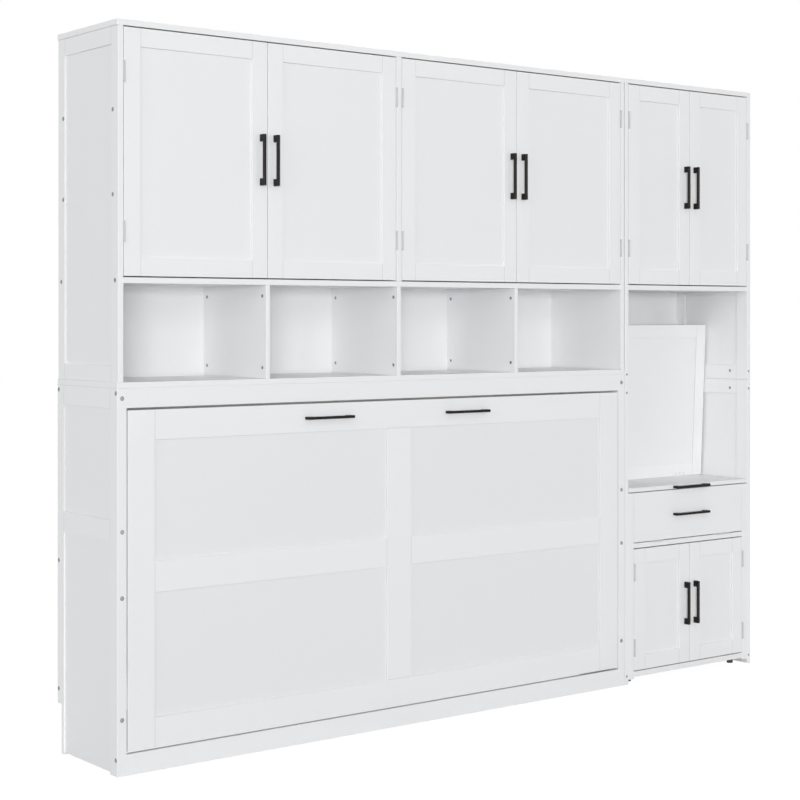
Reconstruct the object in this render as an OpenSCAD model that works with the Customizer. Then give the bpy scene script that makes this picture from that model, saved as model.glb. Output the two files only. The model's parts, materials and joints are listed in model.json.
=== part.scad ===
// Wall bed with hutch and fold-down desk.
// Left: a cabinet whose front panel folds down as a twin bed, with cubbies and cupboards above it.
// Right: a desk cabinet with a sliding desktop, a folding leaf, a drop flap and cupboards.
// Every piece is drawn from the left front corner of the cabinet on the floor, then moved by place().

/* [Overall] */
// Overall height
height = 2240; // [2200:1:2300]
// Depth from the front faces to the wall, without the pulls
depth = 385; // [380:1:400]
// Width of the bed cabinet and the hutch on it
bed_unit_w = 2104; // [2090:1:2140]
// Width of the desk cabinet
desk_unit_w = 691; // [660:1:740]
// Gap between the two cabinets
unit_gap = 2; // [1:1:6]

/* [Boards] */
// Thickness of boards, doors and framed sides
board = 18; // [18:1:20]
// Thickness of the panels that sit in frames
panel_t = 6; // [5:1:7]
// Thickness of the back panels
back_t = 5; // [3:1:6]
// Depth to which a panel sits in its frame's groove
groove = 7; // [5:1:9]
// Width of the stiles and rails of doors and desk sides
stile = 56; // [45:1:65]

/* [Bed cabinet] */
// Width of a post, seen from the front
post_w = 32; // [30:1:36]
// Depth of a post, seen from the side
post_d = 43; // [40:1:48]
// Height of the bed cabinet, under the hutch floor
bed_box_h = 1147; // [1140:1:1150]
// Height of the front top rail
top_rail_h = 58.5; // [55:0.5:60]
// Height of the plinth
plinth_h = 63; // [58:1:63]
// Height of the cut for a skirting board at the back
skirting_h = 154; // [100:1:160]
// Depth of the cut for a skirting board
skirting_d = 27; // [15:1:28]

/* [Fold-down bed] */
// Gap between the bed front and the posts
bed_gap = 4.5; // [4:0.5:6]
// Underside of the bed front when it is closed
bed_low = 69; // [68:1:72]
// Top edge of the bed front when it is closed
bed_high = 1081.5; // [1079:0.5:1082]
// Width of the bed front's stiles and rails
bed_stile = 91; // [80:1:105]
// Width of the bed front's centre stile
bed_mid_stile = 102; // [90:1:110]
// Depth of the rails that hold the mattress
mattress_rail_d = 90; // [70:1:95]
// Distance of the pivot from the front
pivot_y = 32; // [30:1:33]
// Height of the pivot
pivot_z = 240; // [238:1:242]
// Number of slats
slat_count = 12; // [8:1:14]
// Width of a slat
slat_w = 70; // [50:1:80]

/* [Hutch] */
// Height of the underside of the board between cubbies and cupboards
middle_z = 1458.5; // [1440:0.5:1480]
// Thickness of the panel between the two cupboards
center_t = 22; // [18:1:24]
// Thickness of the three cubby dividers
divider_t = 15; // [12:1:18]
// How far the hutch sides stand in from the ends of its boards
hutch_inset = 3; // [0:1:6]

/* [Desk] */
// Height of the underside of the desktop
desktop_z = 708.5; // [700:0.5:720]
// Thickness of the desktop
desktop_t = 15; // [15:1:18]
// Depth of the desktop
desktop_d = 370; // [340:1:372]
// Height of the folding leaf
leaf_h = 603; // [560:1:640]
// Thickness of the folding leaf
leaf_t = 16; // [15:1:18]
// Distance of the leaf's hinge line from the front
leaf_y = 238; // [220:1:245]
// Forward lean of the stored leaf, in degrees
leaf_lean = 2.5; // [1:0.5:4]
// Underside of the board between flap and lower doors
compartment_z = 500.5; // [490:0.5:505]
// Width of the two stiles beside the flap and the lower doors
desk_stile_w = 28; // [22:1:34]
// Underside of the lowest board
base_z = 24; // [20:1:30]

/* [Hardware] */
// Length of an upright bar pull
pull_l = 160; // [140:1:180]
// Length of a level bar pull
wide_pull_l = 180; // [160:1:200]
// How far a pull stands out
pull_reach = 25; // [22:1:26]
// Width of a pull's bar
pull_w = 9; // [8:1:12]
// Length of a butt hinge
hinge_l = 65; // [60:1:70]

/* [Hidden] */
$fn = 48;

// Finishes
white = "white";
off_white = "ghostwhite";
dark_bronze = [0.2, 0.18, 0.17];
steel = [0.62, 0.63, 0.65];
birch = [0.86, 0.78, 0.62];
rubber_black = [0.08, 0.08, 0.08];

// Overall
total_w = bed_unit_w + unit_gap + desk_unit_w;
// The pulls count in the depth, so the middle of the whole is half a pull in front of the middle of the boards.
front_y = (pull_reach - depth) / 2;
// The back panels are let in between the sides; the boards inside end at them.
back_y = depth - back_t - 5;
top_z = height - board;

// Bed cabinet
bay_x0 = post_w;
bay_x1 = bed_unit_w - post_w;
side_rail_t = 23;
side_rail_z = bed_box_h - 61;
side_mid_z = 691;
side_mid_h = 65;
side_panel_x = 5;
batten_z = [136, 496];
batten_h = 60;
batten_t = 12;
side_foot = 5;
wall_rail_y = depth - board;
wall_rail_z = [[160, 240], [560, 640], [1057, bed_box_h]];
wall_hole_r = 4;
wall_hole_pitch = 406.4;
post_bolt_x = 17;
post_bolt_z = [166, 526, 722, 1117];
post_bolt_l = 76;
// Bolts through the sides into the ends of rails and boards; points are [y, z].
bolt_head_r = 7;
bolt_r = 3;
side_bolt_l = 55;
bed_side_bolts = [[9, 48], [9, 1132.5], [376, 200], [376, 600], [376, 1132.5]];

// Fold-down bed
bed_x0 = bay_x0 + bed_gap;
bed_w = bed_unit_w - 2 * bed_x0;
bed_h = bed_high - bed_low;
bed_mid_rail_z = 464;
bed_mid_rail_h = 95;
bed_panel_t = 8;
bed_pull_x = [763, 1341];
rail_gap = 23;
bed_rail_t = 18;
bed_end_rail_t = 12;
rail_x0 = bay_x0 + rail_gap;
rail_x1 = bay_x1 - rail_gap;
rail_low = bed_low + 1;
rail_high = bed_high - 1.5;
ledger_t = 22;
ledger_h = 30;
slat_t = 12;
slat_x0 = rail_x0 + bed_rail_t + 30;
slat_pitch = (rail_x1 - bed_rail_t - 30 - slat_w - slat_x0) / (slat_count - 1);

// Pivots, legs and gas struts; points are [y, z]
pivot = [pivot_y, pivot_z];
pivot_pin_r = 8;
bracket_t = 4;
plate_t = 4;
boss_t = 5;
leg_pivot = [60, 1066];
leg_elbow = 32;
leg_w = 20;
leg_t = 12;
leg_x = bay_x0 + 7;
leg_pin_r = 5;
// The leg ends 1 mm above the floor when the bed is down.
leg_reach = pivot.y + leg_pivot.x - pivot.x - 1;
// The leg swings through this angle while the bed turns down a right angle.
leg_turn = 243;
strut_foot = [300, 526];
strut_head = [55, 165];
strut_x = bay_x0 + 13;
strut_r = 9;
strut_wall = 1.5;
strut_rod_r = 4;
strut_eye_w = 8;
strut_body_l = 265;
strut_rod_in = 245;
strut_span = strut_head - strut_foot;
strut_l = norm(strut_span);
strut_angle = atan2(strut_span.y, strut_span.x);

// Hutch
hutch_x0 = hutch_inset;
hutch_x1 = bed_unit_w - hutch_inset;
hutch_in_x0 = hutch_x0 + board;
hutch_in_x1 = hutch_x1 - board;
hutch_z0 = bed_box_h + board;
center_x0 = (bed_unit_w - center_t) / 2;
cupboard_z0 = middle_z + board;
divider_x = [532, bed_unit_w / 2, 1571];
shelf_t = 15;
shelf_z = [1715, 1967];
shelf_y = 22;

// Doors
hinge_gap = 2.4;
meet_gap = 3;
top_gap = 3.5;
door_z = cupboard_z0 + top_gap;
door_h = top_z - top_gap - door_z;
hutch_door_w = (center_x0 - hutch_in_x0 - 2 * hinge_gap - meet_gap) / 2;
bay_2_x = center_x0 + center_t;
recess = 6;
side_bolt_y = [33, 352];
edge_bolt_y = [19, 365];
upper_inset = 132;
lower_inset = 85;
pull_inset = 24;

// Desk cabinet
desk_x0 = bed_unit_w + unit_gap;
desk_in_x0 = desk_x0 + board;
desk_in_x1 = total_w - board;
desk_in_w = desk_in_x1 - desk_in_x0;
desk_mid_x = (desk_in_x0 + desk_in_x1) / 2;
desk_door_w = (desk_in_w - 2 * hinge_gap - meet_gap) / 2;
// Below the desktop the front is narrower by a stile at each side.
low_x0 = desk_in_x0 + desk_stile_w;
low_x1 = desk_in_x1 - desk_stile_w;
low_door_w = (low_x1 - low_x0 - 2 * hinge_gap - meet_gap) / 2;
stile_foot = 17;
side_seam_z = 1112;
// Small bolts in the front and back edges of the desk sides, and cams beside the seam and in the dividers.
edge_bolt_z = [31, side_seam_z - 34, side_seam_z + 34];
edge_bolt_l = 28;
low_bolt_y = [45, 340];
edge_bolt_head_r = 4.5;
edge_bolt_r = 2.5;
cam_r = 5.5;
cam_t = 11;
cam_inset = 34;
side_recess = 5;
base_t = 20;
lower_door_z = base_z + base_t + 3;
lower_door_h = compartment_z - 3.5 - lower_door_z;
flap_gap = 3;
flap_t = 15;
flap_z = compartment_z + board + flap_gap;
flap_h = desktop_z - 3 - flap_z;
flap_side_gap = 2;
flap_hinge_x = [desk_mid_x - 184, desk_mid_x + 184];
runner_w = 12;
runner_h = 14;
runner_wall = 1.5;
runner_play = 0.5;
runner_l = 360;
runner_y = 4;
glide_r = 12;
glide_h = 14;

// Folding leaf
leaf_stile = 50;
leaf_side_gap = 4;
leaf_w = desk_in_w - 2 * leaf_side_gap;
leaf_hinge_gap = 2.4;
leaf_axis_z = desktop_z + desktop_t + leaf_hinge_gap / 2;
leaf_hinge_x = [desk_mid_x - 200, desk_mid_x + 200];

// Hinges and pulls
barrel_r = 3;
barrel_out = 3.2;
pin_r = 1.2;
hinge_t = 1;
hinge_reach = 17;
knuckles = 5;
knuckle_l = hinge_l / knuckles;
pull_foot = 22;
pull_bar_d = 8;
fit = 0.05;
// A hair's breadth between a hinge plate and the board it is screwed to, so each stays a solid of its own.
seat = 0.02;

// ---------- helpers ----------

// Everything is drawn from the left front corner; this centres it, with the pulls counted in the depth.
module place() {
    translate([-total_w / 2, front_y, 0]) children();
}

// A box between two opposite corners.
module block(a, b) {
    translate(a) cube(b - a);
}

// The children once as they are and once mirrored to the other side of the bed cabinet.
module both_bed_sides() {
    children();
    translate([bed_unit_w, 0, 0]) mirror([1, 0, 0]) children();
}

// A board in the XZ plane with its front at y = 0 and a field cut back inside stiles and rails.
module framed_board(w, h, t, side, low, high, cut) {
    difference() {
        cube([w, t, h]);
        block([side, -1, low], [w - side, cut, h - high]);
    }
}

// A plate in the YZ plane with round corners, standing on x = 0.
module rounded_plate(y0, y1, z0, z1, t, r) {
    block([0, y0 + r, z0], [t, y1 - r, z1]);
    block([0, y0, z0 + r], [t, y1, z1 - r]);
    for (y = [y0 + r, y1 - r], z = [z0 + r, z1 - r])
        translate([0, y, z]) rotate([0, 90, 0]) cylinder(h = t, r = r);
}

// A bar along X through the point [y, z].
module pin_x(x0, x1, point, r) {
    translate([x0, point.x, point.y]) rotate([0, 90, 0]) cylinder(h = x1 - x0, r = r);
}

// ---------- pulls ----------

// A bar pull of length l along Z on the plane y = 0, with a foot at each end.
module pull(l = pull_l) {
    color(dark_bronze)
        difference() {
            translate([-pull_w / 2, 0, 0])
                rotate([90, 0, 90])
                    linear_extrude(pull_w)
                        polygon([
                            [0, -l / 2], [1 - pull_reach, -l / 2], [-pull_reach, 1 - l / 2],
                            [-pull_reach, l / 2 - 1], [1 - pull_reach, l / 2], [0, l / 2],
                            [0, l / 2 - pull_foot], [pull_bar_d - pull_reach, l / 2 - pull_foot],
                            [pull_bar_d - pull_reach, pull_foot - l / 2], [0, pull_foot - l / 2]
                        ]);
            for (side = [-1, 1])
                translate([side * pull_w / 2, -pull_reach, 0])
                    rotate([0, 0, 45])
                        cube([1.2, 1.2, l + 2], center = true);
        }
}

// The level pull.
module level_pull() {
    rotate([0, 90, 0]) pull(wide_pull_l);
}

// ---------- hinges ----------

// One leaf of a butt hinge about the Z axis, closed, with its plate running to +Y.
// dir is 1 for the plate on the +X side of the gap and -1 for the other; first is its lowest knuckle.
module hinge_leaf(dir, first, gap, has_pin) {
    plate_x = dir > 0 ? gap / 2 - hinge_t - seat : seat - gap / 2;
    web_x0 = min(plate_x, 0);
    web_x1 = max(plate_x + hinge_t, 0);
    block([plate_x, barrel_r + 0.4, -hinge_l / 2], [plate_x + hinge_t, hinge_reach, hinge_l / 2]);
    difference() {
        for (i = [first:2:knuckles - 1])
            translate([0, 0, i * knuckle_l - hinge_l / 2]) {
                cylinder(h = knuckle_l - 0.3, r = barrel_r);
                block([web_x0, 0, 0], [web_x1, barrel_r + 0.5, knuckle_l - 0.3]);
            }
        if (!has_pin)
            cylinder(h = 2 * hinge_l, r = pin_r + fit, center = true);
    }
    if (has_pin)
        translate([0, 0, -hinge_l / 2]) cylinder(h = hinge_l - 0.3, r = pin_r);
}

// The fixed leaf holds the pin and three knuckles; the moving leaf has the two between them.
module fixed_leaf(gap = hinge_gap) {
    hinge_leaf(-1, 0, gap, true);
}

module moving_leaf(gap = hinge_gap) {
    hinge_leaf(1, 1, gap, false);
}

// Puts children on a door's hinge line: x is the cabinet's inner face, hand is 1 for left and -1 for right.
module on_hinge_line(x, hand, z) {
    translate([x + hand * hinge_gap / 2, -barrel_out, z])
        mirror([hand < 0 ? 1 : 0, 0, 0]) children();
}

// Puts children on the flap's hinge line, with the gap along Z and the plates running back.
module on_flap_line(x) {
    translate([x, -barrel_out, flap_z - flap_gap / 2]) rotate([0, -90, 0]) children();
}

// Puts children on the leaf's hinge line, with the gap along Z and the plates running forward.
module on_leaf_line(x) {
    translate([x, leaf_y, leaf_axis_z]) rotate([0, 0, 180]) rotate([0, -90, 0]) children();
}

// ---------- doors ----------

// A shaker door with its moving hinge leaves. x is the cabinet's inner face on the hinged side.
module door(x, z, w, h, hand, inset) {
    color(white)
        translate([hand > 0 ? x + hinge_gap : x - hinge_gap - w, 0, z])
            framed_board(w, h, board, stile, stile, stile, recess);
    color(off_white)
        for (hz = [z + inset, z + h - inset])
            on_hinge_line(x, hand, hz) moving_leaf();
}

// The pull of such a door, on its free stile at mid height.
module door_pull(x, z, w, h, hand) {
    translate([x + hand * (hinge_gap + w - pull_inset), 0, z + h / 2]) pull();
}

// The two fixed hinge leaves of such a door.
module door_fixed_leaves(x, z, h, hand, inset) {
    for (hz = [z + inset, z + h - inset])
        on_hinge_line(x, hand, hz) fixed_leaf();
}

// Hinged side and hand of the hutch doors from left to right, and of the upper and lower desk doors.
hutch_doors = [[hutch_in_x0, 1], [center_x0, -1], [bay_2_x, 1], [hutch_in_x1, -1]];
desk_doors = [[desk_in_x0, 1], [desk_in_x1, -1]];
low_doors = [[low_x0, 1], [low_x1, -1]];

module hutch_door(i) {
    door(hutch_doors[i][0], door_z, hutch_door_w, door_h, hutch_doors[i][1], upper_inset);
}

module hutch_pull(i) {
    door_pull(hutch_doors[i][0], door_z, hutch_door_w, door_h, hutch_doors[i][1]);
}

module desk_upper_door(i) {
    door(desk_doors[i][0], door_z, desk_door_w, door_h, desk_doors[i][1], upper_inset);
}

module desk_upper_pull(i) {
    door_pull(desk_doors[i][0], door_z, desk_door_w, door_h, desk_doors[i][1]);
}

module desk_lower_door(i) {
    door(low_doors[i][0], lower_door_z, low_door_w, lower_door_h, low_doors[i][1], lower_inset);
}

module desk_lower_pull(i) {
    door_pull(low_doors[i][0], lower_door_z, low_door_w, lower_door_h, low_doors[i][1]);
}

module cabinet_hinge_leaves() {
    color(off_white) {
        for (d = hutch_doors)
            door_fixed_leaves(d[0], door_z, door_h, d[1], upper_inset);
        for (d = desk_doors)
            door_fixed_leaves(d[0], door_z, door_h, d[1], upper_inset);
        for (d = low_doors)
            door_fixed_leaves(d[0], lower_door_z, lower_door_h, d[1], lower_inset);
        for (x = flap_hinge_x)
            on_flap_line(x) fixed_leaf(flap_gap);
    }
}

// ---------- bed cabinet ----------

// A hex-socket bolt that goes in along +Y from y = 0, with its head sunk flush.
module bolt(l, head_r, shank_r, head_t = 3) {
    difference() {
        rotate([-90, 0, 0]) {
            cylinder(h = head_t, r = head_r);
            cylinder(h = l, r = shank_r);
        }
        rotate([90, 0, 0]) cylinder(h = 4, r = head_r / 2, $fn = 6, center = true);
    }
}

// The hole for such a bolt.
module bolt_bore(l, head_r, shank_r, head_t = 3) {
    rotate([-90, 0, 0]) {
        translate([0, 0, -1]) cylinder(h = head_t + 1, r = head_r + fit);
        cylinder(h = l + 1, r = shank_r + fit);
    }
}

// Children at each bolt of a left-hand post, at the front and turned round at the back.
module at_post_bolts() {
    for (z = post_bolt_z) {
        translate([post_bolt_x, 0, z]) children();
        translate([post_bolt_x, depth, z]) rotate([0, 0, 180]) children();
    }
}

// Children at the bolts through the left side of each cabinet, turned to go in along +X.
module at_bed_side_bolts() {
    for (p = bed_side_bolts)
        translate([0, p.x, p.y]) rotate([0, 0, -90]) children();
}

module at_cupboard_bolts(x) {
    for (z = shelf_z, y = side_bolt_y)
        translate([x, y, z + shelf_t / 2]) rotate([0, 0, -90]) children();
    for (y = edge_bolt_y)
        translate([x, y, middle_z + board / 2]) rotate([0, 0, -90]) children();
}

module at_desk_side_bolts() {
    at_cupboard_bolts(desk_x0) children();
    for (y = low_bolt_y, z = [compartment_z + board / 2, base_z + base_t / 2])
        translate([desk_x0, y, z]) rotate([0, 0, -90]) children();
}

// The bolts of one kind and their bores, on both sides of their cabinet.
module side_bolt() {
    bolt(side_bolt_l, bolt_head_r, bolt_r);
}

module side_bore() {
    bolt_bore(side_bolt_l, bolt_head_r, bolt_r);
}

module bed_side_bores() {
    both_bed_sides() at_bed_side_bolts() side_bore();
}

module hutch_side_bores() {
    both_bed_sides() at_cupboard_bolts(hutch_x0) side_bore();
}

module desk_side_bores() {
    both_desk_sides() at_desk_side_bolts() side_bore();
}

// Two posts joined by two rails and two battens; the panels stand in grooves between them.
module side_frame() {
    in_y0 = post_d;
    in_y1 = depth - post_d;
    g = groove;
    color(white)
        difference() {
            union() {
                for (y = [0, in_y1])
                    translate([0, y, 0]) cube([post_w, post_d, bed_box_h]);
                block([0, in_y0, side_rail_z], [side_rail_t, in_y1, bed_box_h]);
                block([0, in_y0, side_mid_z], [side_rail_t, in_y1, side_mid_z + side_mid_h]);
                for (z = batten_z)
                    block([side_panel_x + panel_t, in_y0, z], [side_panel_x + panel_t + batten_t, in_y1, z + batten_h]);
            }
            for (span = [[side_foot, side_mid_z + g], [side_mid_z + side_mid_h - g, side_rail_z + g]])
                block([side_panel_x, in_y0 - g, span[0]], [side_panel_x + panel_t, in_y1 + g, span[1]]);
            block([-1, depth - skirting_d, -1], [post_w + 1, depth + 1, skirting_h]);
            at_post_bolts() bolt_bore(post_bolt_l, bolt_head_r, bolt_r);
            at_bed_side_bolts() side_bore();
        }
}

module bed_side_frame_left() {
    side_frame();
}

module bed_side_frame_right() {
    translate([bed_unit_w, 0, 0]) mirror([1, 0, 0]) side_frame();
}

module bed_side_panels() {
    g = groove - 0.5;
    spans = [[side_foot, side_mid_z + g], [side_mid_z + side_mid_h - g, side_rail_z + g]];
    color(white)
        both_bed_sides()
            for (span = spans)
                block([side_panel_x, post_d - g, span[0]], [side_panel_x + panel_t, depth - post_d + g, span[1]]);
}

module bed_top_rail() {
    color(white)
        difference() {
            block([bay_x0, 0, bed_box_h - top_rail_h], [bay_x1, board, bed_box_h]);
            bed_side_bores();
        }
}

module bed_plinth() {
    color(white)
        difference() {
            block([bay_x0, 0, 0], [bay_x1, board, plinth_h]);
            bed_side_bores();
        }
}

// Three rails between the rear posts; the top one takes the wall screws.
module wall_rails() {
    color(white)
        difference() {
            for (span = wall_rail_z)
                block([bay_x0, wall_rail_y, span[0]], [bay_x1, depth, span[1]]);
            for (i = [-1.5:1:1.5])
                translate([bed_unit_w / 2 + i * wall_hole_pitch, depth + 1, (wall_rail_z[2][0] + wall_rail_z[2][1]) / 2])
                    rotate([90, 0, 0]) cylinder(h = board + 2, r = wall_hole_r);
            bed_side_bores();
        }
}

// Each bracket carries the pin that the bed turns on; the plate behind carries the foot of the gas strut.
module bed_pivot_brackets() {
    color(steel)
        both_bed_sides() {
            translate([bay_x0, 0, 0]) rounded_plate(3, post_d - 1, pivot.y - 50, pivot.y + 50, bracket_t, 6);
            pin_x(bay_x0, rail_x0 - 0.5, pivot, pivot_pin_r);
            translate([side_panel_x + panel_t + batten_t, 0, 0])
                rounded_plate(strut_foot.x - 25, strut_foot.x + 25, strut_foot.y - 25, strut_foot.y + 25, 3, 6);
            pin_x(side_panel_x + panel_t + batten_t, strut_x + strut_eye_w / 2 + 2, strut_foot, strut_rod_r);
            pin_x(side_panel_x + panel_t + batten_t, strut_x - strut_eye_w / 2 - 1, strut_foot, strut_r);
        }
}

// A cam in the face x = 0, with its cross slot.
module cam() {
    difference() {
        rotate([0, 90, 0]) cylinder(h = cam_t, r = cam_r);
        for (turn = [45, 135])
            rotate([turn, 0, 0]) cube([2, 1.4, 1.6 * cam_r], center = true);
    }
}

module cam_bore() {
    translate([-1, 0, 0]) rotate([0, 90, 0]) cylinder(h = cam_t + 1.2, r = cam_r + fit);
}

// Children at the cams of the three dividers, on their left faces.
module at_divider_cams() {
    for (x = divider_x, y = [22, 353], z = [hutch_z0 + cam_inset, middle_z - cam_inset])
        translate([x - divider_t / 2, y, z]) children();
}

// Children at the cams on the inner face of the left desk side, above and below its seam.
module at_desk_cams() {
    for (y = [89, depth - 89], dz = [-cam_inset, cam_inset])
        translate([desk_in_x0, y, side_seam_z + dz]) mirror([1, 0, 0]) children();
}

// All bolts and cams of the cabinets.
module frame_bolts() {
    color(steel) {
        both_bed_sides() {
            at_post_bolts() bolt(post_bolt_l, bolt_head_r, bolt_r);
            at_bed_side_bolts() side_bolt();
            at_cupboard_bolts(hutch_x0) side_bolt();
        }
        both_desk_sides() {
            at_desk_side_bolts() side_bolt();
            at_edge_bolts() bolt(edge_bolt_l, edge_bolt_head_r, edge_bolt_r);
            at_desk_cams() cam();
        }
        at_divider_cams() cam();
    }
}

// ---------- fold-down bed ----------

// Lower corners and sizes of the four fields of the bed front.
field_w = (bed_w - 2 * bed_stile - bed_mid_stile) / 2;
field_x = [bed_stile, bed_stile + field_w + bed_mid_stile];
field_z = [bed_stile, bed_mid_rail_z + bed_mid_rail_h];
field_h = [bed_mid_rail_z - bed_stile, bed_h - bed_stile - bed_mid_rail_z - bed_mid_rail_h];

// The four fields of the bed front, grown by g on each side, between the depths y0 and y1.
module bed_fields(g, y0, y1) {
    for (x = field_x, i = [0, 1])
        block([x - g, y0, field_z[i] - g], [x + field_w + g, y1, field_z[i] + field_h[i] + g]);
}

module bed_front_frame() {
    color(white)
        translate([bed_x0, 0, bed_low])
            difference() {
                cube([bed_w, board, bed_h]);
                bed_fields(0, -1, board + 1);
                bed_fields(groove, (board - bed_panel_t) / 2, (board + bed_panel_t) / 2);
            }
}

module bed_front_panels() {
    color(white)
        translate([bed_x0, 0, bed_low])
            bed_fields(groove - 0.5, (board - bed_panel_t) / 2, (board + bed_panel_t) / 2);
}

module bed_pulls() {
    for (x = bed_pull_x)
        translate([x, 0, bed_high - bed_stile / 2]) level_pull();
}

// The box that holds the mattress, and the ledgers that carry the slats.
module bed_rails() {
    in_x0 = rail_x0 + bed_rail_t;
    in_x1 = rail_x1 - bed_rail_t;
    in_low = rail_low + bed_end_rail_t;
    in_high = rail_high - bed_end_rail_t;
    color(white) {
        for (x = [rail_x0, in_x1])
            translate([x, board, rail_low]) cube([bed_rail_t, mattress_rail_d, rail_high - rail_low]);
        for (z = [rail_low, in_high])
            translate([in_x0, board, z]) cube([in_x1 - in_x0, mattress_rail_d, bed_end_rail_t]);
        for (z = [in_low, in_high - ledger_h])
            translate([in_x0, board, z]) cube([in_x1 - in_x0, ledger_t, ledger_h]);
    }
}

module bed_slats() {
    in_low = rail_low + bed_end_rail_t + 0.5;
    in_high = rail_high - bed_end_rail_t - 0.5;
    color(birch)
        for (i = [0:slat_count - 1])
            translate([slat_x0 + i * slat_pitch, board + ledger_t, in_low])
                cube([slat_w, slat_t, in_high - in_low]);
}

// On each side rail: the plate that turns on the pivot pin, the stud of the gas strut and the bolt of the leg.
module bed_rail_fittings() {
    color(steel)
        both_bed_sides() {
            difference() {
                union() {
                    translate([rail_x0 - plate_t, 0, 0])
                        rounded_plate(board + 0.5, 76, pivot.y - 45, pivot.y + 45, plate_t, 6);
                    pin_x(rail_x0 - plate_t - boss_t, rail_x0, pivot, pivot_pin_r + 5);
                }
                pin_x(rail_x0 - 20, rail_x0 + 1, pivot, pivot_pin_r + fit);
            }
            pin_x(strut_x + strut_eye_w / 2 + 1, rail_x0, strut_head, strut_rod_r + 2);
            pin_x(leg_x - 1, rail_x0, leg_pivot, leg_pin_r);
            pin_x(leg_x - 5, leg_x - 0.5, leg_pivot, leg_pin_r + 4);
            pin_x(leg_x + leg_t + 0.5, rail_x0, leg_pivot, leg_pin_r + 4);
        }
}

// The leg unfolded: a short arm past the end of the bed and a long arm down to the floor.
module leg_shape() {
    arm = leg_w / 2;
    for (z = [0, leg_elbow])
        pin_x(0, leg_t, [0, z], arm);
    block([0, -arm, 0], [leg_t, arm, leg_elbow]);
    block([0, -leg_reach, leg_elbow - arm], [leg_t, 0, leg_elbow + arm]);
}

module bed_legs() {
    color(steel)
        both_bed_sides()
            translate([leg_x, leg_pivot.x, leg_pivot.y])
                rotate([-leg_turn, 0, 0])
                    difference() {
                        leg_shape();
                        pin_x(-1, leg_t + 1, [0, 0], leg_pin_r + fit);
                    }
}

// Puts children at the strut's foot with +Z along the strut.
module along_strut() {
    translate([strut_x, strut_foot.x, strut_foot.y]) rotate([strut_angle - 90, 0, 0]) children();
}

// An eye across the strut at height z on it.
module strut_eye(z, r) {
    translate([0, 0, z]) rotate([0, 90, 0]) cylinder(h = strut_eye_w, r = r, center = true);
}

module gas_strut_cylinders() {
    bore_r = strut_r - strut_wall;
    color([0.12, 0.12, 0.13])
        both_bed_sides()
            along_strut()
                difference() {
                    union() {
                        strut_eye(0, strut_r);
                        cylinder(h = 22, r = 5);
                        translate([0, 0, 20]) cylinder(h = strut_body_l - 20, r = strut_r);
                    }
                    strut_eye_bore();
                    translate([0, 0, 24]) cylinder(h = strut_body_l - 36, r = bore_r);
                    cylinder(h = 2 * strut_body_l, r = strut_rod_r + fit, center = true);
                }
}

module strut_eye_bore() {
    rotate([0, 90, 0]) cylinder(h = 40, r = strut_rod_r + fit, center = true);
}

module gas_strut_rods() {
    color(steel)
        both_bed_sides()
            along_strut()
                difference() {
                    union() {
                        translate([0, 0, strut_rod_in]) cylinder(h = strut_l - strut_rod_in, r = strut_rod_r);
                        translate([0, 0, strut_rod_in]) cylinder(h = 6, r = strut_r - strut_wall - 0.1);
                        strut_eye(strut_l, strut_r);
                    }
                    translate([0, 0, strut_l]) strut_eye_bore();
                }
}

// ---------- hutch ----------

module hutch_floor_board() {
    color(white) block([0, 0, bed_box_h], [bed_unit_w, depth, hutch_z0]);
}

// A framed side with its outer face at x = 0, drawn for the left.
module framed_side(h, side, low, high) {
    mirror([1, 0, 0]) rotate([0, 0, 90]) framed_board(depth, h, board, side, low, high, side_recess);
}

module hutch_side_left() {
    color(white)
        difference() {
            translate([hutch_x0, 0, hutch_z0]) framed_side(top_z - hutch_z0, post_d, 50, 53);
            at_cupboard_bolts(hutch_x0) side_bore();
        }
}

module hutch_side_right() {
    translate([bed_unit_w, 0, 0]) mirror([1, 0, 0]) hutch_side_left();
}

module hutch_center_panel() {
    color(white) block([center_x0, 0, cupboard_z0], [bay_2_x, back_y, top_z]);
}

module hutch_middle_board() {
    color(white)
        difference() {
            block([hutch_in_x0, 0, middle_z], [hutch_in_x1, back_y, cupboard_z0]);
            hutch_side_bores();
        }
}

module hutch_top_board() {
    color(white) block([0, 0, top_z], [bed_unit_w, depth, height]);
}

module hutch_back_panel() {
    color(white) block([hutch_in_x0, back_y, hutch_z0], [hutch_in_x1, back_y + back_t, top_z]);
}

module cubby_dividers() {
    color(white)
        difference() {
            for (x = divider_x)
                block([x - divider_t / 2, 0, hutch_z0], [x + divider_t / 2, back_y, middle_z]);
            at_divider_cams() cam_bore();
        }
}

// Two shelves, one above the other, between x0 and x1.
module shelf_pair(x0, x1) {
    for (z = shelf_z)
        block([x0, shelf_y, z], [x1, back_y, z + shelf_t]);
}

module hutch_shelves() {
    color(white)
        difference() {
            union() {
                shelf_pair(hutch_in_x0, center_x0);
                shelf_pair(bay_2_x, hutch_in_x1);
            }
            hutch_side_bores();
        }
}

// ---------- desk cabinet ----------

// The children once as they are and once mirrored to the other side of the desk cabinet.
module both_desk_sides() {
    children();
    translate([2 * desk_mid_x, 0, 0]) mirror([1, 0, 0]) children();
}

// Children at the small bolts in the edges of the left desk side, at the front and turned round at the back.
module at_edge_bolts() {
    for (z = edge_bolt_z) {
        translate([desk_x0 + board / 2, 0, z]) children();
        translate([desk_x0 + board / 2, depth, z]) rotate([0, 0, 180]) children();
    }
}

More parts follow.
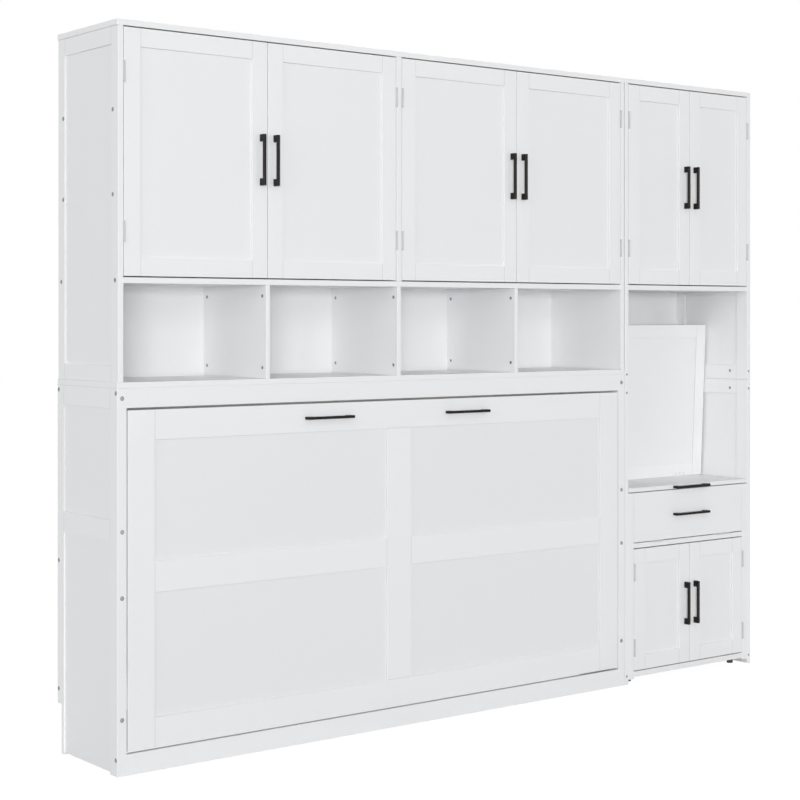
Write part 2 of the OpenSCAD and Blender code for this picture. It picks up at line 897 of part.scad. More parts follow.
// The left desk side: two boards end to end, framed outside, and inside beside the niche.
// A stile stands inside its front edge, under the desktop.
module desk_side_left() {
    niche_z = desktop_z + desktop_t + 6;
    upper_h = top_z - side_seam_z;
    color(white) {
        difference() {
            translate([desk_x0, 0, 0])
                mirror([1, 0, 0]) rotate([0, 0, 90]) {
                    framed_board(depth, side_seam_z - 0.3, board, stile, stile, stile, side_recess);
                    translate([0, 0, side_seam_z])
                        framed_board(depth, upper_h, board, stile, stile, stile, side_recess);
                }
            for (span = [[niche_z, side_seam_z - stile], [side_seam_z + stile, middle_z - 12]])
                block([desk_in_x0 - side_recess, stile, span[0]], [desk_in_x0 + 1, depth - stile, span[1]]);
            at_edge_bolts() bolt_bore(edge_bolt_l, edge_bolt_head_r, edge_bolt_r);
            at_desk_side_bolts() side_bore();
            at_desk_cams() cam_bore();
        }
        block([desk_in_x0 + seat, 0, stile_foot], [low_x0, board, flap_z + flap_h]);
    }
}

module desk_side_right() {
    translate([2 * desk_mid_x, 0, 0]) mirror([1, 0, 0]) desk_side_left();
}

module desk_top_board() {
    color(white) block([desk_x0, 0, top_z], [total_w, depth, height]);
}

module desk_middle_board() {
    color(white)
        difference() {
            block([desk_in_x0, 0, middle_z], [desk_in_x1, back_y, cupboard_z0]);
            desk_side_bores();
        }
}

module desk_shelves() {
    color(white)
        difference() {
            shelf_pair(desk_in_x0, desk_in_x1);
            desk_side_bores();
        }
}

// The front corners of a board that stands behind the two stiles.
module stile_notches() {
    both_desk_sides() block([desk_x0, -1, 0], [low_x0, board, desktop_z]);
}

module desk_compartment_board() {
    color(white)
        difference() {
            block([desk_in_x0, 0, compartment_z], [desk_in_x1, back_y, compartment_z + board]);
            stile_notches();
            desk_side_bores();
        }
}

module desk_base_board() {
    color(white)
        difference() {
            block([desk_in_x0, 0, base_z], [desk_in_x1, back_y, base_z + base_t]);
            stile_notches();
            desk_side_bores();
        }
}

module desk_back_panel() {
    color(white) block([desk_in_x0, back_y, base_z], [desk_in_x1, back_y + back_t, top_z]);
}

// Children for the left runner and mirrored for the right one, from the cabinet's inner face.
module both_runners() {
    translate([desk_in_x0, runner_y, desktop_z]) children();
    translate([desk_in_x1, runner_y, desktop_z]) mirror([1, 0, 0]) children();
}

module desk_runners_outer() {
    color(steel)
        both_runners()
            difference() {
                cube([runner_w - 3, runner_l, runner_h]);
                block([runner_wall, -1, runner_wall], [runner_w, runner_l + 1, runner_h - runner_wall]);
            }
}

module desk_runners_inner() {
    inset = runner_wall + runner_play;
    color(steel)
        both_runners() block([inset, 0, inset], [runner_w, runner_l, runner_h - inset]);
}

module desk_glides() {
    color(rubber_black)
        for (x = [desk_in_x0 + 45, desk_in_x1 - 45], y = [50, depth - 50])
            translate([x, y, 0]) {
                cylinder(h = glide_h, r = glide_r);
                cylinder(h = base_z, r = 4);
            }
}

// The grooves that the barrels of the leaf's hinges lie in.
module barrel_grooves() {
    for (x = leaf_hinge_x)
        pin_x(x - hinge_l / 2 - 0.5, x + hinge_l / 2 + 0.5, [leaf_y, leaf_axis_z], barrel_r + 0.3);
}

// The desktop fills the space between its runners; its front edge is wider and hides their ends.
module desktop() {
    top = desktop_z + desktop_t;
    color(white)
        difference() {
            union() {
                block([desk_in_x0 + runner_w, 0, desktop_z], [desk_in_x1 - runner_w, desktop_d, top]);
                block([desk_in_x0 + 1, 0, desktop_z], [desk_in_x1 - 1, runner_y - 0.5, top]);
            }
            barrel_grooves();
        }
}

module desktop_pull() {
    translate([desk_mid_x, 0, desktop_z + desktop_t / 2]) level_pull();
}

module leaf_hinges() {
    color(off_white)
        for (x = leaf_hinge_x)
            on_leaf_line(x) fixed_leaf(leaf_hinge_gap);
}

// The leaf stands on the desktop, leaning forward a little, with its framed face to the front.
module desk_leaf() {
    tilt = leaf_lean - 90;
    color(white)
        difference() {
            translate([desk_in_x0 + leaf_side_gap, leaf_y, leaf_axis_z])
                rotate([leaf_lean, 0, 0])
                    translate([0, leaf_hinge_gap / 2, -0.7])
                        framed_board(leaf_w, leaf_h, leaf_t, leaf_stile, leaf_stile, leaf_stile, 4);
            barrel_grooves();
        }
    color(off_white)
        translate([0, leaf_y, leaf_axis_z])
            rotate([tilt, 0, 0])
                translate([0, -leaf_y, -leaf_axis_z])
                    for (x = leaf_hinge_x)
                        on_leaf_line(x) moving_leaf(leaf_hinge_gap);
}

module desk_flap() {
    color(white)
        block([low_x0 + flap_side_gap, 0, flap_z], [low_x1 - flap_side_gap, flap_t, flap_z + flap_h]);
    color(off_white)
        for (x = flap_hinge_x)
            on_flap_line(x) moving_leaf(flap_gap);
}

module desk_flap_pull() {
    translate([desk_mid_x, 0, flap_z + flap_h / 2]) level_pull();
}

place() bed_side_frame_left();
place() bed_side_frame_right();
place() bed_side_panels();
place() bed_top_rail();
place() bed_plinth();
place() wall_rails();
place() hutch_floor_board();
place() hutch_side_left();
place() hutch_side_right();
place() hutch_center_panel();
place() hutch_middle_board();
place() hutch_top_board();
place() hutch_back_panel();
place() cubby_dividers();
place() hutch_shelves();
place() desk_side_left();
place() desk_side_right();
place() desk_top_board();
place() desk_middle_board();
place() desk_shelves();
place() desk_compartment_board();
place() desk_base_board();
place() desk_back_panel();
place() desk_runners_outer();
place() desk_glides();
place() cabinet_hinge_leaves();
place() bed_pivot_brackets();
place() frame_bolts();
place() bed_front_frame();
place() bed_front_panels();
place() bed_pulls();
place() bed_rails();
place() bed_slats();
place() bed_rail_fittings();
place() bed_legs();
place() gas_strut_cylinders();
place() gas_strut_rods();
place() desktop();
place() desktop_pull();
place() desk_runners_inner();
place() leaf_hinges();
place() desk_leaf();
place() desk_flap();
place() desk_flap_pull();
place() hutch_door(0);  // hutch_door_1
place() hutch_door(1);  // hutch_door_2
place() hutch_door(2);  // hutch_door_3
place() hutch_door(3);  // hutch_door_4
place() hutch_pull(0);  // hutch_door_1_pull
place() hutch_pull(1);  // hutch_door_2_pull
place() hutch_pull(2);  // hutch_door_3_pull
place() hutch_pull(3);  // hutch_door_4_pull
place() desk_upper_door(0);  // desk_upper_door_left
place() desk_upper_door(1);  // desk_upper_door_right
place() desk_upper_pull(0);  // desk_upper_door_left_pull
place() desk_upper_pull(1);  // desk_upper_door_right_pull
place() desk_lower_door(0);  // desk_lower_door_left
place() desk_lower_door(1);  // desk_lower_door_right
place() desk_lower_pull(0);  // desk_lower_door_left_pull
place() desk_lower_pull(1);  // desk_lower_door_right_pull
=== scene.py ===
import json
import math

import bmesh
import bpy
from mathutils import Matrix, Vector


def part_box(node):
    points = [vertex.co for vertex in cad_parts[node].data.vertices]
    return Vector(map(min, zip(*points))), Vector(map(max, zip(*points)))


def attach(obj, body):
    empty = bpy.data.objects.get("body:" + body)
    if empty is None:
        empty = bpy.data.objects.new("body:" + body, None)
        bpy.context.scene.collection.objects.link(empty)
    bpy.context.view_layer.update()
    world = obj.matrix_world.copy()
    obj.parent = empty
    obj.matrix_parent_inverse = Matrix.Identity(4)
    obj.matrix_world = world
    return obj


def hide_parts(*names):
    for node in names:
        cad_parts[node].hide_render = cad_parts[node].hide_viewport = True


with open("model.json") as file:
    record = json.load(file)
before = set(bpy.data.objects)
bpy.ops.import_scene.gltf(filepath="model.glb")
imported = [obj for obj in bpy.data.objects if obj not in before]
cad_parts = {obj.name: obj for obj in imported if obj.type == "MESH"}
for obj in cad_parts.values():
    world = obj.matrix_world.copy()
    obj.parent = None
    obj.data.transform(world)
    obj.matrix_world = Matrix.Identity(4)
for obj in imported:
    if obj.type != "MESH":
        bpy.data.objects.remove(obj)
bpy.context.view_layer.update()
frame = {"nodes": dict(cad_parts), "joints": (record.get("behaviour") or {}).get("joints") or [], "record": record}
record = frame["record"]
bodyOf = {node: body for body, nodes in record["behaviour"]["bodies"].items() for node in nodes}
slotOf = {part["node"]: part["material_slot"] for part in record["subparts"]}
joints = {joint["name"]: joint for joint in frame["joints"]}


class Wire:
    # a socket of a material's node tree; sums and products of wires add their Math nodes
    def __init__(self, finish, socket):
        self.finish = finish
        self.socket = socket

    def maths(self, operation, first, second=0.0):
        return self.finish.add("Math", {"operation": operation}, {0: first, 1: second})

    def __add__(self, other):
        return self.maths("ADD", self, other)

    def __radd__(self, other):
        return self.maths("ADD", other, self)

    def __sub__(self, other):
        return self.maths("SUBTRACT", self, other)

    def __rsub__(self, other):
        return self.maths("SUBTRACT", other, self)

    def __mul__(self, other):
        return self.maths("MULTIPLY", self, other)

    def __rmul__(self, other):
        return self.maths("MULTIPLY", other, self)

    def floor(self):
        return self.maths("FLOOR", self)

    def swing(self, reach):
        # a noise's rise and fall about its middle
        return (self - 0.5) * reach


class Finish:
    # one node material round a Principled shader
    def __init__(self, name):
        self.material = bpy.data.materials.new(name)
        self.material.use_nodes = True
        self.tree = self.material.node_tree
        self.shader = self.tree.nodes["Principled BSDF"]

    def add(self, kind, settings=None, sockets=None, output=0):
        node = self.tree.nodes.new("ShaderNode" + kind)
        for name, value in (settings or {}).items():
            if name == "stops":
                ramp = node.color_ramp
                while len(ramp.elements) < len(value):
                    ramp.elements.new(0.5)
                for element, (position, colour) in zip(ramp.elements, value):
                    element.position = position
                    element.color = (*colour, 1.0)
            else:
                setattr(node, name, value)
        for key, value in (sockets or {}).items():
            self.join(node.inputs[key], value)
        return Wire(self, node.outputs[output])

    def join(self, socket, value):
        if isinstance(value, Wire):
            self.tree.links.new(value.socket, socket)
        elif hasattr(socket.default_value, "__len__") and len(value) < len(socket.default_value):
            socket.default_value = (*value, 1.0)
        else:
            socket.default_value = value

    def set(self, **sockets):
        # baseColor=... sets or joins the shader's socket "Base Color"
        for name, value in sockets.items():
            words = "".join(" " + letter if letter.isupper() else letter for letter in name)
            title = " ".join("IOR" if word == "Ior" else word.capitalize() for word in words.split())
            self.join(self.shader.inputs[title], value)
        return self.material

    def point(self):
        return self.add("TexCoord", output="Object")

    def squeezed(self, point, stretch):
        return self.add("Mapping", None, {"Vector": point, "Scale": stretch})

    def noise(self, scale, stretch=(1, 1, 1), detail=2.0, rough=0.5, twist=0.0, place=None):
        # scale is in lumps per metre; place stands for the object's own coordinates
        values = {"Vector": place or self.squeezed(self.point(), stretch), "Scale": scale}
        values.update({"Detail": detail, "Roughness": rough, "Distortion": twist})
        return self.add("TexNoise", None, values, output="Fac")

    def mix(self, share, first, second):
        # 6 and 7 are the Mix node's colours, and output 2 is theirs
        node = {"data_type": "RGBA"}
        return self.add("Mix", node, {0: share, 6: first, 7: second}, output=2)

    def bump(self, height, depth=1.0):
        return self.add("Bump", None, {"Height": height, "Distance": depth, "Strength": 1.0})

    def edge(self):
        # 1 on the rounded edges that easeEdges makes, 0 elsewhere
        return self.add("Attribute", {"attribute_name": "edge"}, output="Fac")


def drawnOut(along, share):
    # squeezes one axis, so that a pattern runs in lines along it
    return tuple(share if axis == along else 1.0 for axis in range(3))


paint = {
    "bright": (0.885, 0.890, 0.896),
    "dull": (0.860, 0.866, 0.874),
    "worn": (0.90, 0.903, 0.907),   # painted highlight: a paler white on the rounded edges
    "wear": 0.5,
    "bedPanel": 0.955,     # tone of the bed front's panels against their frame's
    "field": 0.980,        # of the other recessed fields
    "step": 0.84,          # of the narrow steps round them: painted shade, darker than the field
    "cloud": 1.7,          # slow change of tone
    "toneCloud": 0.7,
    "toneGrain": 0.3,
    "peel": 520,           # lumps of the sprayed coat
    "peelDepth": 0.00006,
    "grain": 150,          # lines of the wood that show through
    "grainStretch": 0.03,
    "grainDepth": 0.00005,
    "rough": 0.40,
    "roughCloud": 0.10,
    "roughGrain": 0.06,
    "roughWorn": 0.08,
    "coat": 0.12,
    "coatRough": 0.3,
    "shine": 0.45,
}


def whitePaint(name, along, share=1.0):
    # satin sprayed lacquer; along is the axis that the wood under it runs along
    finish = Finish(name)
    stretch = drawnOut(along, paint["grainStretch"])
    cloud = finish.noise(paint["cloud"], detail=3.0)
    grain = finish.noise(paint["grain"], stretch, detail=3.0, rough=0.6)
    peel = finish.noise(paint["peel"], detail=1.0)
    # painted highlight: the rounded edges turn a paler white in cloudy patches, and are also a little rougher
    worn = finish.edge() * paint["wear"]
    dull, bright = (tuple(c * share for c in paint[key]) for key in ("dull", "bright"))
    tone = finish.mix(cloud * paint["toneCloud"] + grain * paint["toneGrain"], dull, bright)
    tone = finish.mix(worn * cloud, tone, paint["worn"])
    height = peel * paint["peelDepth"] + grain * paint["grainDepth"]
    rough = paint["rough"] + cloud.swing(paint["roughCloud"]) + grain.swing(paint["roughGrain"])
    rough = rough + worn * paint["roughWorn"]
    finish.set(coatWeight=paint["coat"], coatRoughness=paint["coatRough"])
    finish.set(specularIorLevel=paint["shine"])
    return finish.set(baseColor=tone, roughness=rough, normal=finish.bump(height))


seamShadeSpecks = {
    "dark": (0.30, 0.30, 0.305),
    "light": (0.46, 0.46, 0.465),
    "specks": 240,
    "rough": 0.6,
    "roughDust": 0.3,
}


def seamShade(name):
    # the fine open line between two painted pieces, in painted shade: a dark, speckled colour for the shadow in
    # the groove
    finish = Finish(name)
    dust = finish.noise(seamShadeSpecks["specks"], detail=3.0)
    tone = finish.mix(dust, seamShadeSpecks["dark"], seamShadeSpecks["light"])
    return finish.set(baseColor=tone, roughness=seamShadeSpecks["rough"] + dust * seamShadeSpecks["roughDust"])


hingeCoat = {
    "colour": (0.56, 0.575, 0.59),
    "dull": 0.94,          # share of the colour in its duller patches
    "cloud": 40,
    "speck": 900,
    "speckDepth": 0.00005,
    "rough": 0.36,
    "roughCloud": 0.12,
}


def powderCoat(name):
    finish = Finish(name)
    speck = finish.noise(hingeCoat["speck"], detail=1.0)
    cloud = finish.noise(hingeCoat["cloud"], detail=2.0)
    colour = hingeCoat["colour"]
    tone = finish.mix(cloud, tuple(c * hingeCoat["dull"] for c in colour), colour)
    rough = hingeCoat["rough"] + cloud.swing(hingeCoat["roughCloud"])
    return finish.set(
        baseColor=tone, roughness=rough, normal=finish.bump(speck, hingeCoat["speckDepth"])
    )


pullMetal = {
    "dark": (0.012, 0.0108, 0.0100),
    "light": (0.024, 0.021, 0.019),
    "rubbed": (0.13, 0.105, 0.085),   # on rounded edges
    "rubbedLeast": 0.35,
    "rubbedCloud": 0.9,
    "rubbedTone": 0.4,
    "cloud": 45,
    "lines": 900,          # fine polishing lines
    "lineStretch": 0.04,
    "lineDepth": 0.00003,
    "rough": 0.40,
    "roughCloud": 0.18,
    "roughLines": 0.16,
    "roughRubbed": 0.08,
    "metallic": 0.85,
}


def bronze(name, along):
    # dark bronze with fine lines and a lighter, smoother edge
    finish = Finish(name)
    lines = finish.noise(pullMetal["lines"], drawnOut(along, pullMetal["lineStretch"]), detail=2.0)
    cloud = finish.noise(pullMetal["cloud"], detail=3.0)
    rubbed = finish.edge() * (pullMetal["rubbedLeast"] + cloud * pullMetal["rubbedCloud"])
    body = finish.mix(cloud, pullMetal["dark"], pullMetal["light"])
    tone = finish.mix(rubbed * pullMetal["rubbedTone"], body, pullMetal["rubbed"])
    rough = pullMetal["rough"] + cloud.swing(pullMetal["roughCloud"])
    rough = rough + lines.swing(pullMetal["roughLines"]) - rubbed * pullMetal["roughRubbed"]
    finish.set(metallic=pullMetal["metallic"])
    return finish.set(
        baseColor=tone, roughness=rough, normal=finish.bump(lines, pullMetal["lineDepth"])
    )


plating = {
    "dull": (0.47, 0.48, 0.51),
    "bright": (0.68, 0.69, 0.70),
    "edge": (0.78, 0.78, 0.79),
    "edgeShare": 0.5,
    "bloom": 120,
    "lines": 700,
    "lineStretch": 0.05,
    "lineDepth": 0.00003,
    "rough": 0.34,
    "roughBloom": 0.28,
    "roughLines": 0.12,
}


def zinc(name, along):
    # bright zinc plate: drawn lines, a mottled bloom and a faint tint
    finish = Finish(name)
    lines = finish.noise(plating["lines"], drawnOut(along, plating["lineStretch"]), detail=2.0)
    bloom = finish.noise(plating["bloom"], detail=4.0, rough=0.65)
    tone = finish.mix(bloom, plating["dull"], plating["bright"])
    tone = finish.mix(finish.edge() * plating["edgeShare"], tone, plating["edge"])
    rough = plating["rough"] + bloom.swing(plating["roughBloom"])
    rough = rough + lines.swing(plating["roughLines"])
    finish.set(metallic=1.0)
    return finish.set(baseColor=tone, roughness=rough, normal=finish.bump(lines, plating["lineDepth"]))


boltZinc = {
    "dull": (0.33, 0.34, 0.36),
    "bright": (0.47, 0.48, 0.50),
    # painted shade: the dark colour of the ring round each head, for the shadow of its socket
    "rim": (0.10, 0.105, 0.115),
    "rimShadeShare": 0.85,
    "bloom": 260,
    "bloomDepth": 0.00004,
    "rough": 0.36,
    "roughBloom": 0.2,
}


def boltSteel(name):
    # zinc bolt heads, with painted shade: a dark ring on each rounded rim for the shadow round head and socket
    finish = Finish(name)
    bloom = finish.noise(boltZinc["bloom"], detail=3.0, rough=0.6)
    tone = finish.mix(bloom, boltZinc["dull"], boltZinc["bright"])
    # painted shade on the rims
    tone = finish.mix(finish.edge() * boltZinc["rimShadeShare"], tone, boltZinc["rim"])
    rough = boltZinc["rough"] + bloom * boltZinc["roughBloom"]
    finish.set(metallic=1.0)
    return finish.set(
        baseColor=tone, roughness=rough, normal=finish.bump(bloom, boltZinc["bloomDepth"])
    )


rodChrome = {
    "dull": (0.66, 0.67, 0.69),
    "bright": (0.74, 0.74, 0.75),
    "film": 30,
    "rings": 1500,
    "ringStretch": 0.2,
    "rough": 0.12,
    "roughRings": 0.08,
    "roughFilm": 0.05,
}


def chrome(name):
    finish = Finish(name)
    rings = finish.noise(rodChrome["rings"], drawnOut(0, rodChrome["ringStretch"]), detail=1.0)
    film = finish.noise(rodChrome["film"], detail=3.0)
    tone = finish.mix(film, rodChrome["dull"], rodChrome["bright"])
    rough = rodChrome["rough"] + rings * rodChrome["roughRings"] + film * rodChrome["roughFilm"]
    finish.set(metallic=1.0)
    return finish.set(baseColor=tone, roughness=rough)


strutBlack = {
    "dark": (0.016, 0.016, 0.017),
    "light": (0.028, 0.028, 0.030),
    "edge": (0.07, 0.07, 0.075),
    "edgeShare": 0.5,
    "film": 60,
    "speck": 1100,
    "speckDepth": 0.00003,
    "rough": 0.30,
    "roughFilm": 0.14,
}


def blackPaint(name):
    finish = Finish(name)
    film = finish.noise(strutBlack["film"], detail=3.0)
    speck = finish.noise(strutBlack["speck"], detail=1.0)
    tone = finish.mix(film, strutBlack["dark"], strutBlack["light"])
    tone = finish.mix(finish.edge() * strutBlack["edgeShare"], tone, strutBlack["edge"])
    rough = strutBlack["rough"] + film * strutBlack["roughFilm"]
    return finish.set(
        baseColor=tone, roughness=rough, normal=finish.bump(speck, strutBlack["speckDepth"])
    )


slatWood = {
    "tones": [(0.30, (0.62, 0.45, 0.27)), (0.48, (0.76, 0.60, 0.40)), (0.70, (0.85, 0.72, 0.53))],
    "pore": (0.50, 0.35, 0.21),
    "poreShare": 0.35,
    "pale": (0.86, 0.74, 0.56),     # mixed into each slat by its own share
    "paleShare": 0.35,
    "apart": (3.0, 5.0, 7.0),       # how far apart in the wood the slats are cut
    "stretch": 0.045,
    "figure": 42.0,
    "figureTwist": 0.6,
    "figureDepth": 0.00010,
    "pores": 420.0,
    "poreDepth": 0.00012,
    "rough": 0.55,
    "roughPores": 0.2,
    "lead": 0.01,                   # from the first count's start to the first slat
}


def birchWood(name, pitch, first):
    # bent birch laminate: grain along Z, and each slat cut from another place
    finish = Finish(name)
    point = finish.point()
    across = finish.add("SeparateXYZ", None, {"Vector": point}, output="X")
    slat = ((across - first) * (1.0 / pitch)).floor()
    chance = finish.add("TexWhiteNoise", {"noise_dimensions": "1D"}, {"W": slat}, output="Value")
    steps = {axis: chance * step for axis, step in zip("XYZ", slatWood["apart"])}
    offset = finish.add("CombineXYZ", None, steps)
    moved = finish.add("VectorMath", {"operation": "ADD"}, {0: point, 1: offset})
    place = finish.squeezed(moved, drawnOut(2, slatWood["stretch"]))
    figure = finish.noise(slatWood["figure"], detail=5.0, twist=slatWood["figureTwist"], place=place)
    pores = finish.noise(slatWood["pores"], detail=2.0, place=place)
    wood = finish.add("ValToRGB", {"stops": slatWood["tones"]}, {"Fac": figure}, output="Color")
    wood = finish.mix((1.0 - pores) * slatWood["poreShare"], wood, slatWood["pore"])
    wood = finish.mix(chance * slatWood["paleShare"], wood, slatWood["pale"])
    height = figure * slatWood["figureDepth"] + pores * slatWood["poreDepth"]
    rough = slatWood["rough"] + pores.swing(slatWood["roughPores"])
    return finish.set(baseColor=wood, roughness=rough, normal=finish.bump(height))


glidePlastic = {
    "dark": (0.022, 0.022, 0.023),
    "light": (0.045, 0.045, 0.047),
    "film": 50,
    "speck": 700,
    "speckDepth": 0.00008,
    "rough": 0.55,
    "roughFilm": 0.2,
}


def mouldedBlack(name):
    finish = Finish(name)
    speck = finish.noise(glidePlastic["speck"], detail=2.0)
    film = finish.noise(glidePlastic["film"], detail=3.0)
    tone = finish.mix(film, glidePlastic["dark"], glidePlastic["light"])
    rough = glidePlastic["rough"] + film * glidePlastic["roughFilm"]
    return finish.set(
        baseColor=tone, roughness=rough, normal=finish.bump(speck, glidePlastic["speckDepth"])
    )


cleaning = {
    "merge": 0.000008,    # corners nearer than this are one
    "flat": 0.8,          # degrees; triangles that turn less are one face
    "sliver": 0.000004,   # shortest edge that stays
    "smooth": 38,         # degrees; edges that turn more stay sharp to the eye
}


def islands(shape):
    # the separate solids of a mesh, as lists of faces
    groups = []
    seen = set()
    for seed in shape.faces:
        if seed in seen:
            continue
        seen.add(seed)
        group = [seed]
        border = [seed]
        while border:
            for edge in border.pop().edges:
                for other in edge.link_faces:
                    if other not in seen:
                        seen.add(other)
                        group.append(other)
                        border.append(other)
        groups.append(group)
    return groups


def boxOf(faces):
    points = [vert.co for face in faces for vert in face.verts]
    low = Vector(min(p[i] for p in points) for i in range(3))
    high = Vector(max(p[i] for p in points) for i in range(3))
    return low, high


def merged(node):
    # a bmesh of the node's solids with their loose triangles joined into whole faces
    shape = bmesh.new()
    shape.from_mesh(frame["nodes"][node].data)
    bmesh.ops.remove_doubles(shape, verts=shape.verts, dist=cleaning["merge"])
    turn = math.radians(cleaning["flat"])
    bmesh.ops.dissolve_limit(shape, angle_limit=turn, verts=shape.verts, edges=shape.edges)
    return shape


def solidBoxes(node):
    # the boxes of a node's separate solids, from left to right
    shape = merged(node)
    boxes = [boxOf(faces) for faces in islands(shape)]
    shape.free()
    return sorted(boxes, key=lambda box: box[0].x)


easing = {
    "segments": 2,
    "sharp": 30,          # degrees; edges that turn less stay as they are
    "thinShare": 0.12,    # the rounding is never wider than this share of its solid's thickness
    "smallPiece": 0.09,   # solids smaller than this in a board's node are its hinge leaves
    "smallWidth": 0.0002,
    # width of the rounding and the shortest edge that gets it
    "panel": (0.0005, 0.012),
    "board": (0.0011, 0.012),
    "pull": (0.0005, 0.0008),
    "hinge": (0.0002, 0.003),
    "slat": (0.0015, 0.004),
    "glide": (0.0004, 0.01),
    "strut": (0.0004, 0.01),
    "rod": (0.0003, 0.01),
    "runner": (0.0002, 0.01),
    "bolt": (0.0007, 0.0005),
    "bracket": (0.0003, 0.006),
}


def easeEdges(shape, faces, width, shortest, layer):
    # rounds the outward edges of one solid
    edges = dict.fromkeys(edge for face in faces for edge in face.edges)   # once each, in order
    sharp = [
        edge for edge in edges
        if edge.is_manifold
        and edge.calc_face_angle_signed(0.0) > math.radians(easing["sharp"])
        and edge.calc_length() > shortest
    ]
    made = bmesh.ops.bevel(
        shape, geom=sharp, offset=width, offset_type="OFFSET", segments=easing["segments"],
        profile=0.5, affect="EDGES", clamp_overlap=True, material=-1,
    )
    for face in made["faces"]:
        face[layer] = 1.0


joinery = {
    "seam": 0.0003,              # half the width of the line where two pieces of a frame meet
    "seamDepth": 0.0003,
    "leastField": 0.01,          # square metres; a smaller face is not a field
    "recess": (0.003, 0.0075),   # how far a field lies behind its frame
    "tongue": 0.0065,            # the edge of a loose panel that is hidden in its frame's groove
    "slack": 0.0005,             # how far a step's middle may lie past its opening
    "upward": 0.5,               # faces whose normal rises more than this are level ones
    "square": 0.05,              # and this near to no share of the frame's normal is square to it
    "sameFacing": 0.9999,
    "sameLevel": 0.00003,
    "boxSlack": 0.0001,
    "endless": (-9.0, 9.0),      # a cut from end to end
    "cutMerge": 0.000004,
    # step is the painted shade on the narrow faces round a field, seam the painted shade in a frame's joint lines
    "paints": {"upright": 0, "hinge": 1, "field": 2, "seam": 3, "level": 4, "step": 5},
}
loosePanels = {
    "bed_front_frame": ("bed_front_panels", (0, -1, 0)),
    "bed_side_frame_left": ("bed_side_panels", (-1, 0, 0)),
    "bed_side_frame_right": ("bed_side_panels", (1, 0, 0)),
}


def planeAxes(normal):
    # the level and the upright direction in an upright plane
    across = Vector((0, 0, 1)).cross(normal).normalized()
    return across, normal.cross(across)


def span(points, axis):
    reach = [point.dot(axis) for point in points]
    return min(reach), max(reach)


def recessedFields(faces):
    # (normal, level of the frame, opening) of each face that lies a few millimetres behind its frame
    found = []
    points = [vert.co for face in faces for vert in face.verts]
    near, far = joinery["recess"]
    for face in faces:
        if face.calc_area() > joinery["leastField"] and abs(face.normal.z) < joinery["upward"]:
            level = span(points, face.normal)[1]
            if near < level - face.verts[0].co.dot(face.normal) < far:
                face.material_index = joinery["paints"]["field"]
                corners = [vert.co for vert in face.verts]
                opening = [span(corners, axis) for axis in planeAxes(face.normal)]
                found.append((face.normal.copy(), level, [opening]))
    return found


def panelOpenings(node, box):
    # the same for a frame whose panels are pieces of their own
    panels, facing = loosePanels[node]
    normal = Vector(facing)
    openings = []
    for low, high in solidBoxes(panels):
        if box[0].x <= low.x and high.x <= box[1].x:
            sides = [span((low, high), axis) for axis in planeAxes(normal)]
            openings.append([(a + joinery["tongue"], b - joinery["tongue"]) for a, b in sides])
    return (normal, span(box, normal)[1], openings)


def shadeSteps(shape, normal, level, openings):
    # the narrow faces beside and above a field, which get painted shade: a darker paint for the shadow in the
    # recess
    axes = planeAxes(normal)
    slack = joinery["slack"]
    for face in shape.faces:
        middle = face.calc_center_median()
        behind = 0 < level - middle.dot(normal) < joinery["recess"][1]
        turned = abs(face.normal.dot(normal)) < joinery["square"]
        within = any(
            all(a - slack < middle.dot(axis) < b + slack for (a, b), axis in zip(opening, axes))
            for opening in openings
        )
        if behind and turned and within and face.normal.z < joinery["upward"]:
            face.material_index = joinery["paints"]["step"]


def cutSeams(shape, box, normal, level, openings):
    # paints stiles and rails each along its own grain, with a fine groove where they meet that carries painted
    # shade
    across, up = planeAxes(normal)
    sides = sorted(set(round(side, 5) for opening in openings for side in opening[0]))
    low = min(opening[1][0] for opening in openings)
    high = max(opening[1][1] for opening in openings)
    cuts = [(across, side, up, joinery["endless"]) for side in (sides[0], sides[-1])]
    if len(sides) > 2:
        inner = (sides[1], sides[-2])
        cuts += [(across, side, up, (low, high)) for side in inner]
        cuts += [(up, side, across, inner) for side in (low, high)]
    half = joinery["seam"]
    slack = joinery["boxSlack"]

    def front():
        return [
            face for face in shape.faces
            if face.normal.dot(normal) > joinery["sameFacing"]
            and abs(face.verts[0].co.dot(normal) - level) < joinery["sameLevel"]
            and all(box[0][i] - slack < face.verts[0].co[i] < box[1][i] + slack for i in range(3))
        ]

    for axis, side, other, reach in cuts:
        for place in (side - half, side, side + half):
            parts = dict.fromkeys(part for face in front() for part in (face, *face.edges, *face.verts))
            bmesh.ops.bisect_plane(
                shape, geom=list(parts), dist=joinery["cutMerge"], plane_co=axis * place, plane_no=axis
            )
    sunk = set()
    for face in front():
        middle = face.calc_center_median()
        a, u = middle.dot(across), middle.dot(up)
        stile = a < sides[0] or a > sides[-1]
        if len(sides) > 2:
            stile = stile or (sides[1] < a < sides[-2] and low < u < high)
        face.material_index = joinery["paints"]["upright" if stile else "level"]
        for axis, side, other, reach in cuts:
            if abs(middle.dot(axis) - side) < half and reach[0] < middle.dot(other) < reach[1]:
                # the groove gets the seam's painted shade
                face.material_index = joinery["paints"]["seam"]
                sunk.update(vert for vert in face.verts if abs(vert.co.dot(axis) - side) < half / 3)
    for vert in sunk:
        vert.co -= normal * joinery["seamDepth"]


